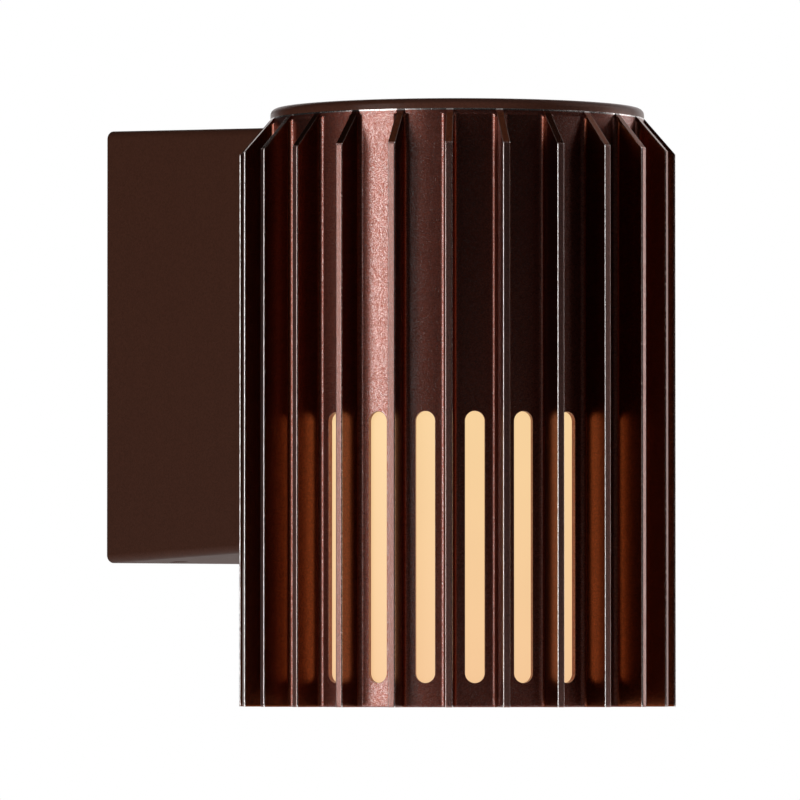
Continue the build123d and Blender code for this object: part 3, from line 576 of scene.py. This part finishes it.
polished = calculate(tree, "ADD", polished, calculate(tree, "MULTIPLY", fleck, FLECK_POLISH))
link(tree, calculate(tree, "SUBTRACT", dullness, polished), shader.inputs["Roughness"])
rounding = stretch(tree, above_foot, FOOT_ROUND, EDGE_ROUND, FOOT_FROM, FOOT_TO)
skin = peeled(tree, place, grain, TUBE_GRAIN_DEPTH, rounded_edges(tree, rounding))
link(tree, skin, shader.inputs["Normal"])
shader.inputs["Metallic"].default_value = 1.0
shader.inputs["Coat Weight"].default_value = 0.20
shader.inputs["Coat Roughness"].default_value = 0.24
print("tube paint: edges rounded by", EDGE_ROUND)

# %% [markdown]
# Opal jar and opal lamp
#
# Opal glass and opal plastic scatter the lamp's light until the whole wall glows evenly. Real scattering through the
# wall would take many light paths, and the lamp behind the wall would have to be very bright. A satin surface that
# gives off light of its own looks the same through the slots: it is a little warmer towards the foot. It takes in
# most of the studio's light, because a lit lamp hides what falls on it from outside.

# %% Glowing opal finishes
JAR_FOOT, JAR_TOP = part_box("diffuser")[0].z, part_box("diffuser")[1].z
JAR_RADIUS = 0.0392
GLOBE_RADIUS = 0.0225
MOTTLE_SIZE = 0.012
FOOT_LOSS = 0.17


def glowing_opal(name, body, foot_glow, top_glow, foot, top, rim):
    """Satin skin whose glow goes from one colour at the foot to another at the top, with faint clouds.

    The flat foot is brightest under the lamp in the middle: it loses a sixth of its glow towards the rim."""
    finish, shader, place = start_finish(name)
    tree = finish.node_tree
    parts = tree.nodes.new("ShaderNodeSeparateXYZ")
    link(tree, place, parts.inputs[0])
    height = stretch(tree, parts.outputs["Z"], 0.0, 1.0, foot, top)
    mottle = cloud(tree, place, MOTTLE_SIZE, detail=1.0)
    link(tree, between(tree, height, foot_glow, top_glow), shader.inputs["Emission Color"])
    at_foot = stretch(tree, parts.outputs["Z"], 1.0, 0.0, foot + 0.0005, foot + 0.0040)
    reach = distance_from_axis(tree, parts.outputs["X"], parts.outputs["Y"])
    falling = stretch(tree, reach, 0.0, FOOT_LOSS, 0.3 * rim, rim, smooth=True)
    loss = calculate(tree, "MULTIPLY", at_foot, falling)
    strength = calculate(tree, "SUBTRACT", stretch(tree, mottle, 0.98, 1.02), loss)
    link(tree, strength, shader.inputs["Emission Strength"])
    link(tree, between(tree, mottle, tuple(0.96 * c for c in body), body), shader.inputs["Base Color"])
    link(tree, stretch(tree, mottle, 0.40, 0.50), shader.inputs["Roughness"])
    shader.inputs["Specular IOR Level"].default_value = 0.10
    return finish


jar_opal = glowing_opal("jar_opal", body=(0.16, 0.15, 0.13), foot_glow=(0.89, 0.555, 0.295),
                        top_glow=(0.92, 0.650, 0.330), foot=JAR_FOOT, top=JAR_TOP, rim=JAR_RADIUS)
lamp_opal = glowing_opal("lamp_glass", body=(0.30, 0.29, 0.26), foot_glow=(0.98, 0.80, 0.52),
                         top_glow=(0.96, 0.74, 0.44), foot=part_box("lamp_globe")[0].z,
                         top=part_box("lamp_globe")[1].z, rim=GLOBE_RADIUS)
print("jar glows from", round(JAR_FOOT, 4), "to", round(JAR_TOP, 4))

# %% [markdown]
# Metals inside and at the wall
#
# The bracket and the screws are zinc plated, the carrier is cast aluminium, the lampholder's shell and tip are brass
# and the lamp's own cap is nickel plated. Metal differs mostly by its grain: zinc has pale cloudy spangles, a casting
# is finely pitted, and drawn brass has faint lines round its axis. One function makes them all from two patterns of
# different size.

# %% Metal finishes
METAL_ROUND = 0.00018


def metal(name, dark, light, rough, blotch, pit, pit_depth, factors=(1.0, 1.0, 1.0)):
    """Metal: large soft blotches mix two tones, small noise sets roughness and pits."""
    finish, shader, place = start_finish(name)
    tree = finish.node_tree
    drawn = squeezed(tree, place, factors)
    tone = cloud(tree, drawn, blotch, detail=4.0)
    fine = cloud(tree, drawn, pit, detail=2.0)
    link(tree, between(tree, stretch(tree, tone, 0.0, 1.0, 0.3, 0.7), dark, light), shader.inputs["Base Color"])
    link(tree, stretch(tree, fine, rough - 0.07, rough + 0.09), shader.inputs["Roughness"])
    skin = raised(tree, fine, pit_depth, under=rounded_edges(tree, METAL_ROUND))
    link(tree, skin, shader.inputs["Normal"])
    shader.inputs["Metallic"].default_value = 1.0
    return finish


zinc = metal("zinc_plate", (0.46, 0.48, 0.50), (0.64, 0.65, 0.65),
             rough=0.36, blotch=0.0030, pit=0.0005, pit_depth=0.000010)
casting = metal("cast_aluminium", (0.60, 0.60, 0.60), (0.72, 0.72, 0.71),
                rough=0.46, blotch=0.0040, pit=0.0004, pit_depth=0.000030)
brass = metal("drawn_brass", (0.66, 0.45, 0.17), (0.80, 0.58, 0.25),
              rough=0.30, blotch=0.0020, pit=0.0003, pit_depth=0.000005, factors=(1, 1, 6))
nickel = metal("nickel_plate", (0.58, 0.56, 0.52), (0.70, 0.68, 0.63),
               rough=0.24, blotch=0.0025, pit=0.0004, pit_depth=0.000004, factors=(1, 1, 5))
print("metals:", zinc.name, casting.name, brass.name, nickel.name)

# %% [markdown]
# Rubber, silicone, mouldings and lead sleeves
#
# Seals are dull and take dust, mouldings are satin with a fine spark texture, and the sleeves of the leads are
# smooth. All are plain plastics without metal, so one function with two tones, a roughness and a grain size does.

# %% Plastic and rubber finishes
def moulded(name, dark, light, rough, grain, grain_depth):
    """Plastic or rubber: noise of one grain size mixes two tones, moves the roughness and gives the bump."""
    finish, shader, place = start_finish(name)
    tree = finish.node_tree
    tone = cloud(tree, place, grain * 8, detail=3.0)
    fine = cloud(tree, place, grain, detail=2.0)
    link(tree, between(tree, tone, dark, light), shader.inputs["Base Color"])
    link(tree, stretch(tree, fine, rough - 0.06, rough + 0.06), shader.inputs["Roughness"])
    link(tree, raised(tree, fine, grain_depth), shader.inputs["Normal"])
    return finish


rubber = moulded("seal_rubber", (0.012, 0.012, 0.012), (0.022, 0.021, 0.020),
                 rough=0.72, grain=0.0004, grain_depth=0.000030)
silicone = moulded("grey_silicone_skin", (0.34, 0.34, 0.33), (0.42, 0.42, 0.41),
                   rough=0.55, grain=0.0005, grain_depth=0.000008)
moulding = moulded("holder_moulding", (0.74, 0.73, 0.69), (0.82, 0.81, 0.77),
                   rough=0.38, grain=0.0004, grain_depth=0.000010)
SLEEVE = dict(rough=0.42, grain=0.0006, grain_depth=0.000006)
live_sleeve = moulded("live_sleeve", (0.085, 0.030, 0.014), (0.110, 0.042, 0.020), **SLEEVE)
neutral_sleeve = moulded("neutral_sleeve", (0.020, 0.075, 0.32), (0.028, 0.095, 0.38), **SLEEVE)
print("plastics:", rubber.name, silicone.name, moulding.name)

# %% [markdown]
# The earth lead is striped
#
# An earth lead is green with a yellow stripe that runs along it. The stripe could be a second strip of mesh, but a
# wave across the sleeve is enough: bands along one direction of space, softened a little at their edges.

# %% Striped earth sleeve
EARTH_GREEN, EARTH_YELLOW = (0.030, 0.21, 0.035), (0.68, 0.52, 0.020)

earth_sleeve, shader, place = start_finish("earth_sleeve")
tree = earth_sleeve.node_tree
bands = tree.nodes.new("ShaderNodeTexWave")
link(tree, place, bands.inputs["Vector"])
bands.bands_direction = "Y"
bands.inputs["Scale"].default_value = 200.0
bands.inputs["Distortion"].default_value = 0.4
stripe = stretch(tree, bands.outputs["Fac"], 0.0, 1.0, 0.45, 0.55)
link(tree, between(tree, stripe, EARTH_GREEN, EARTH_YELLOW), shader.inputs["Base Color"])
link(tree, stretch(tree, cloud(tree, place, 0.0006), 0.36, 0.48), shader.inputs["Roughness"])
print("earth sleeve has its stripe")

# %% [markdown]
# Dress the solids
#
# Every solid of the record has a material slot, so the finishes are handed out slot by slot instead of node by node.
# The solids themselves stay as they are.

# %% Hand out the finishes
FINISH_OF_SLOT = {
    "brown_shade": shade_paint, "brown_cap": cap_paint, "brown_box": box_paint,
    "zinc_steel": zinc, "bare_aluminium": casting, "brass": brass, "nickel": nickel,
    "black_rubber": rubber, "grey_silicone": silicone, "white_moulding": moulding,
    "lamp_opal": lamp_opal, "diffuser_opal": jar_opal,
    "brown_sleeve": live_sleeve, "blue_sleeve": neutral_sleeve, "green_sleeve": earth_sleeve,
}
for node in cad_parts.values():
    slot_name = node.material_slots[0].material.name
    node.material_slots[0].material = FINISH_OF_SLOT[slot_name]
print("dressed", len(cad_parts), "solids with", len(FINISH_OF_SLOT), "finishes")

# %% [markdown]
# Grids that become pieces
#
# The screws, threads and rims below are turned shapes whose radius changes along the axis and round it. They could be
# made with modifiers, such as Screw on a drawn profile, but a formula says exactly how deep a thread is and where it
# starts. So each shape is an array of points, one row for each step along its profile and one column for each step
# round it, and one helper joins the cells of that array into faces.

# %% From a grid of points to a piece
def grid_cells(rows, columns):
    """Corner numbers of the cells between rows and columns of points. The last column joins the first."""
    index = np.arange(rows * columns).reshape(rows, columns)
    ahead = np.roll(index, -1, axis=1)
    return np.stack([index[:-1], ahead[:-1], ahead[1:], index[1:]], axis=-1).reshape(-1, 4)


def lay_grid(name, grid, body, finish, replaced=()):
    """Makes a piece from one grid of points in rows and columns, or from a stack of such grids.

    Equal points become one."""
    rows, columns = grid.shape[-3:-1]
    starts = np.arange(0, grid.size // 3, rows * columns)
    cells = (starts[:, None, None] + grid_cells(rows, columns)).reshape(-1, 4)
    mesh = bpy.data.meshes.new(name)
    mesh.from_pydata(grid.reshape(-1, 3).tolist(), [], cells.tolist())
    work = bmesh.new()
    work.from_mesh(mesh)
    bmesh.ops.remove_doubles(work, verts=work.verts, dist=1e-7)
    bmesh.ops.recalc_face_normals(work, faces=work.faces)
    work.to_mesh(mesh)
    work.free()
    mesh.polygons.foreach_set("use_smooth", np.ones(len(mesh.polygons), bool))
    mesh.set_sharp_from_angle(angle=math.radians(38.0))
    mesh.materials.append(finish)
    piece = bpy.data.objects.new(name, mesh)
    bpy.context.scene.collection.objects.link(piece)
    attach(piece, body)
    if replaced:
        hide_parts(*replaced)
    print(name, "faces", len(mesh.polygons), "rides", body)


def turned(along, across, angles, start, axis, side):
    """Points round an axis: each row has a distance along it and a radius, which may change with the angle."""
    axis, side = np.array(axis, float), np.array(side, float)
    other = np.cross(axis, side)
    spokes = np.cos(angles)[:, None] * side + np.sin(angles)[:, None] * other
    return np.array(start, float) + along[..., None] * axis + across[..., None] * spokes[None]


UPRIGHT = ((*TUBE_AXIS, 0.0), (0, 0, 1), (1, 0, 0))
print("grids can be laid round the tube's axis at", TUBE_AXIS)

# %% [markdown]
# Screws with a cross recess
#
# The light is held together by small plated screws. Two pull the box and the tube together, three hold the cap, two
# hold the terminal block and one holds the earth tag. On a real screw the head has a cross recess with sloping ends
# and the shank has a thread. Cutting these out with Boolean tools gives ragged edges on so small a part, so the head
# is a height map over a polar grid: the recess is simply a lower place in it.

# %% Screw surface
SCREW_COLUMNS = 64
BAR_WIDTH, BAR_EDGE, BAR_SLOPE = 0.26, 0.10, 0.55
RECESS_REACH, RECESS_DEPTH = 0.62, 0.55
DOME_SHARE = 0.22
GROOVE_SHARE = 0.32


def cross_recess(across, angles, reach, depth):
    """Depth of the cross: two bars through the middle, each a soft step across its width and sloping to its ends."""
    x, y = across * np.cos(angles), across * np.sin(angles)
    width, edge = BAR_WIDTH * reach, BAR_EDGE * reach

    def bar(a, b):
        sides = np.clip((width - np.abs(a)) / edge, 0, 1)
        ends = np.clip((reach - np.abs(b)) / (BAR_SLOPE * reach), 0, 1)
        return sides * ends

    return depth * np.maximum(bar(x, y), bar(y, x))


def screw_grid(top, axis, side, length, head, head_depth, shank, pitch, sunk):
    """A screw from the middle of its head to its point.

    Head: radius grows from 0, a pan head is domed by a fifth of its depth and a sunk one is flat, minus the recess.
    Shank: its radius drops by a triangle wave of height over pitch minus angle over a full turn."""
    angles = np.linspace(0, 2 * np.pi, SCREW_COLUMNS, endpoint=False)
    reach = np.concatenate([np.linspace(0, 0.9, 22), [0.97, 1.0]]) * head
    dome = np.zeros_like(reach) if sunk else DOME_SHARE * head_depth * (reach / head) ** 3
    face_across = np.repeat(reach[:, None], SCREW_COLUMNS, axis=1)
    recess = cross_recess(face_across, angles, RECESS_REACH * head, RECESS_DEPTH * head_depth)
    face_along = dome[:, None] + recess
    face_along[0] = face_along[0].mean()
    rim_along = np.array([head_depth, head_depth] if sunk else [0.7 * head_depth, head_depth, head_depth])
    rim_across = np.array([shank, shank] if sunk else [head, head, shank])
    steps = np.arange(head_depth + 0.3 * pitch, length - 0.8 * pitch, pitch / 6)
    wave = np.abs(2 * ((steps[:, None] / pitch - angles / (2 * np.pi)) % 1.0) - 1.0)
    thread_across = shank - GROOVE_SHARE * pitch * wave
    end_along = np.array([length - 0.4 * pitch, length, length])
    end_across = np.array([0.80 * shank, 0.55 * shank, 0.0])
    wide = np.ones((1, SCREW_COLUMNS))
    along = np.concatenate([face_along, rim_along[:, None] * wide, steps[:, None] * wide, end_along[:, None] * wide])
    across = np.concatenate([face_across, rim_across[:, None] * wide, thread_across, end_across[:, None] * wide])
    return turned(along, across, angles, top, axis, side)


print("a screw has", SCREW_COLUMNS, "columns of points")

# %% [markdown]
# Where the screws sit
#
# A screw's place and length could be written down again, but the solids have them already. So each screw takes both
# from the box of its own solid: a sunk cap screw points up and is entered from below, and all others point away
# from the wall.

# %% Set the screws
BOX_SCREW = dict(head=0.0036, head_depth=0.0024, shank=0.0020, pitch=0.0010, sunk=False)
EARTH_SCREW = dict(BOX_SCREW, pitch=0.0007)
TERMINAL_SCREW = dict(head=0.0027, head_depth=0.0015, shank=0.0015, pitch=0.0010, sunk=False)
CAP_SCREW = dict(head=0.0027, head_depth=0.0012, shank=0.0015, pitch=0.0010, sunk=True)
SCREWS = {
    "box_screw_upper": BOX_SCREW, "box_screw_lower": BOX_SCREW, "earth_screw": EARTH_SCREW,
    "terminal_screw_left": TERMINAL_SCREW, "terminal_screw_right": TERMINAL_SCREW,
    "cap_screw_1": CAP_SCREW, "cap_screw_2": CAP_SCREW, "cap_screw_3": CAP_SCREW,
}
for screw_name, measures in SCREWS.items():
    low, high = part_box(screw_name)
    middle = (low + high) / 2
    if measures["sunk"]:
        top, axis, length = (middle.x, middle.y, low.z), (0, 0, 1), high.z - low.z
    else:
        top, axis, length = (middle.x, high.y, middle.z), (0, -1, 0), high.y - low.y
    grid = screw_grid(top, axis, (1, 0, 0), length, **measures)
    lay_grid(screw_name + "_cut", grid, "fixture", zinc, [screw_name])

# %% [markdown]
# The lamp's screw cap
#
# The lamp's cap is a thin nickel plated sleeve with a round thread rolled into it, 3.62 mm from turn to turn. A round
# thread is a cosine: the radius swells and shrinks as the height runs ahead of the angle. It fades out at the rim and
# at the shoulder, where the sleeve is drawn in to the insulated end.

# %% Rolled thread on the lamp's cap
THREAD_PITCH = 0.00362
THREAD_DEPTH = 0.00064
SLEEVE_RADIUS = 0.0131
SLEEVE_BORE = 0.0124
SHOULDER_DROP = 0.0025
SHEET = 0.0007
FADE_ABOVE, FADE_BELOW = 0.0015, 0.0018
cap_low, cap_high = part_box("lamp_cap")
cap_foot, cap_top = cap_low.z, cap_high.z
angles = np.linspace(0, 2 * np.pi, 120, endpoint=False)
wide = np.ones((1, len(angles)))
shoulder = cap_top - SHOULDER_DROP
heights = np.linspace(shoulder, cap_foot + 0.0006, 72)
fade = np.clip((shoulder - heights) / FADE_ABOVE, 0, 1)
fade = fade * np.clip((heights - cap_foot - 0.0008) / FADE_BELOW, 0, 1)
swell = 0.5 - 0.5 * np.cos(2 * np.pi * heights[:, None] / THREAD_PITCH - angles)
thread_across = SLEEVE_RADIUS - THREAD_DEPTH * fade[:, None] * swell
above_along = np.array([cap_top, cap_top, cap_top - 0.0001, cap_top - 0.0012])
above_across = np.array([0.0, 0.0070, 0.0079, 0.0107])
inside_along = np.array([cap_foot, cap_foot, shoulder - SHEET, cap_top - SHEET, cap_top - SHEET])
inside_across = np.array([SLEEVE_RADIUS, SLEEVE_BORE, SLEEVE_BORE, 0.0072, 0.0])
along = np.concatenate([above_along[:, None] * wide, heights[:, None] * wide, inside_along[:, None] * wide])
across = np.concatenate([above_across[:, None] * wide, thread_across, inside_across[:, None] * wide])
grid = turned(along, across, angles, *UPRIGHT)
lay_grid("lamp_cap_rolled", grid, "lamp", nickel, ["lamp_cap"])

# %% [markdown]
# The thread on the jar's neck
#
# The jar screws into the carrier's collar with a coarse ridge, 4 mm from turn to turn, that is moulded on its neck.
# It is a small profile carried along a helix. The ends of a moulded ridge run out smoothly, so the profile's height
# is scaled down to nothing over the first and the last eighth of the path.

# %% Moulded ridge on the neck
RIDGE_PITCH = 0.004
RIDGE_TURNS = 1.5
NECK_RADIUS = 0.0271
RIDGE_BELOW_TOP = 0.0016
neck_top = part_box("diffuser")[1].z
path = np.linspace(0.0, 1.0, 220)
turn = 2 * np.pi * RIDGE_TURNS * path
ridge_height = neck_top - RIDGE_BELOW_TOP - RIDGE_PITCH * RIDGE_TURNS * (1.0 - path)
ramp = np.clip(np.minimum(path, 1.0 - path) * 8.0, 0.0, 1.0)
ramp = ramp * ramp * (3.0 - 2.0 * ramp)
profile_across = np.array([-0.0002, 0.0, 0.00019, 0.00019, 0.0, -0.0002])
profile_along = np.array([-0.0008, -0.0008, -0.0003, 0.0003, 0.0008, 0.0008])
radius = NECK_RADIUS + np.where(profile_across > 0, profile_across * ramp[:, None], profile_across)
height = ridge_height[:, None] + profile_along * (0.15 + 0.85 * ramp[:, None])
grid = np.stack([
    TUBE_AXIS[0] + radius * np.cos(turn)[:, None],
    TUBE_AXIS[1] + radius * np.sin(turn)[:, None],
    height,
], axis=-1)
first, last = grid[:1].mean(axis=1, keepdims=True), grid[-1:].mean(axis=1, keepdims=True)
width = len(profile_across)
grid = np.concatenate([np.repeat(first, width, axis=1), grid, np.repeat(last, width, axis=1)])
lay_grid("jar_neck_ridge", grid, "jar", jar_opal)

# %% [markdown]
# The tube's upper rim
#
# The tube's wall stands up round the seal and the foot of the cap, so the seal stays out of the weather and only
# about two millimetres of the cap show. Its upper edge is worn bright like the fins. The rim could be cut with a
# Boolean tool, but it is a plain turned ring: a small section carried once round the tube's axis. Its lower end laps
# over the tube's end by a hair and dips into the tube's wall at a flat angle, which hides the joint.

# %% Rim round the cap's foot
RIM_WALL = 0.00045
RIM_PROUD = 0.00003
RIM_LAP = 0.0001
RIM_DIP = 0.0006
section = np.array([
    (TUBE_RADIUS - RIM_WALL, SHADE_TOP - RIM_DIP),
    (TUBE_RADIUS - RIM_LAP, SHADE_TOP - RIM_DIP),
    (TUBE_RADIUS + RIM_PROUD, SHADE_TOP - RIM_LAP),
    (TUBE_RADIUS + RIM_PROUD, RIM_TOP - RIM_PROUD),
    (TUBE_RADIUS, RIM_TOP),
    (TUBE_RADIUS - RIM_WALL, RIM_TOP),
    (TUBE_RADIUS - RIM_WALL, SHADE_TOP - RIM_DIP),
])
angles = np.linspace(0, 2 * np.pi, 240, endpoint=False)
wide = np.ones((1, len(angles)))
grid = turned(section[:, 1:] * wide, section[:, :1] * wide, angles, *UPRIGHT)
lay_grid("tube_rim", grid, "fixture", shade_paint)

# %% [markdown]
# The fins' upper ends
#
# Each fin's upper end slopes from its full reach up to the tube's rim. The solid's slope ends at the seal, so a thin
# wedge lies on it and carries the slope on to the rim. A wedge is a four-sided outline seen from the fin's side, once
# on each side of the fin, and both sides are closed by a fan to the outline's middle. It is narrower than the fin by
# a few thousandths of a millimetre, so that no two faces lie in one plane.

# %% Wedges on the fins
FIN_COUNT = 18
WEDGE_HALF = FIN_HALF - 0.000004
WEDGE_SUNK = 0.0001
WEDGE_INSIDE = TUBE_RADIUS - 0.0002
outline = np.array([
    (FIN_RADIUS - WEDGE_SUNK, SHADE_TOP - FIN_DEPTH + WEDGE_SUNK),
    (WEDGE_INSIDE, SHADE_TOP - WEDGE_SUNK),
    (WEDGE_INSIDE, RIM_TOP),
    (TUBE_RADIUS, RIM_TOP),
])
hub = np.repeat(outline.mean(axis=0, keepdims=True), len(outline), axis=0)
rows = np.array([hub, outline, outline, hub])
reaches, heights = rows[..., :1], rows[..., 1:]
halves = WEDGE_HALF * np.array([-1, -1, 1, 1])[:, None, None]
fin_turns = FIN_STEP * (np.arange(FIN_COUNT) - (FIN_COUNT - 1) / 2)
level = np.zeros(FIN_COUNT)
out = np.stack([np.sin(fin_turns), -np.cos(fin_turns), level], axis=-1)[:, None, None]
aside = np.stack([np.cos(fin_turns), np.sin(fin_turns), level], axis=-1)[:, None, None]
grid = np.array([*TUBE_AXIS, 0.0]) + reaches * out + halves * aside + heights * np.array([0.0, 0.0, 1.0])
lay_grid("fin_ends", grid, "fixture", shade_paint)
